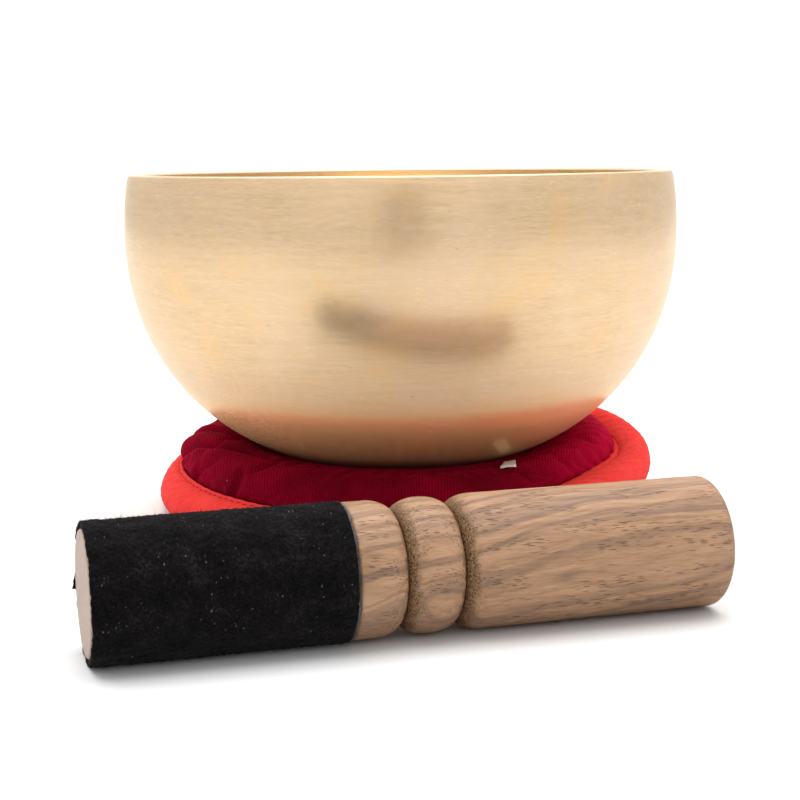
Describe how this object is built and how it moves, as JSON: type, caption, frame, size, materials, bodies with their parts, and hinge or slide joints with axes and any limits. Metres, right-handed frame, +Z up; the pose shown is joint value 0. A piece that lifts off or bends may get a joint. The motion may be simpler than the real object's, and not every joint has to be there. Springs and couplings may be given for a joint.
{
  "type": "singing bowl set",
  "caption": "Turned bell-metal singing bowl resting on a round velvet cushion, with a turned wooden mallet with a suede-wrapped end beside it.",
  "frame": {"origin": "on the cushion's flat underside, under the bowl's axis", "axes": "+Z up along the bowl's axis, +Y from the mallet to the bowl, +X to the right as seen from the mallet's side; the mallet's handle end points to +X turned 17 degrees towards +Y"},
  "size_m": [0.1846, 0.2876, 0.1153],
  "materials": {
    "bell_metal": "turned and finely brushed, pale gold",
    "red_cotton": "plain-weave cotton, bright red",
    "crimson_velvet": "velvet with fine pile rows, dark crimson",
    "cotton_filling": "loose stuffing, off white",
    "red_thread": "sewing thread, red",
    "label_ribbon": "blank white ribbon",
    "hardwood": "turned, dry oiled, open pores",
    "black_suede": "suede, black, short nap"
  },
  "bodies": {
    "cushion": {"cushion_base_cloth": "red_cotton", "cushion_velvet_top": "crimson_velvet", "cushion_filling": "cotton_filling", "cushion_seam_thread": "red_thread", "cushion_label": "label_ribbon"},
    "bowl": {"bowl": "bell_metal"},
    "mallet": {"mallet_stick": "hardwood", "mallet_suede_sleeve": "black_suede"}
  },
  "joints": [
    {"name": "bowl_lift", "type": "slide", "parent": "cushion", "child": "bowl", "axis": [0, 0, 1], "range_m": [0, 0.12]},
    {"name": "mallet_pick_up", "type": "slide", "parent": "cushion", "child": "mallet", "axis": [0, 0, 1], "range_m": [0, 0.15]}
  ]
}
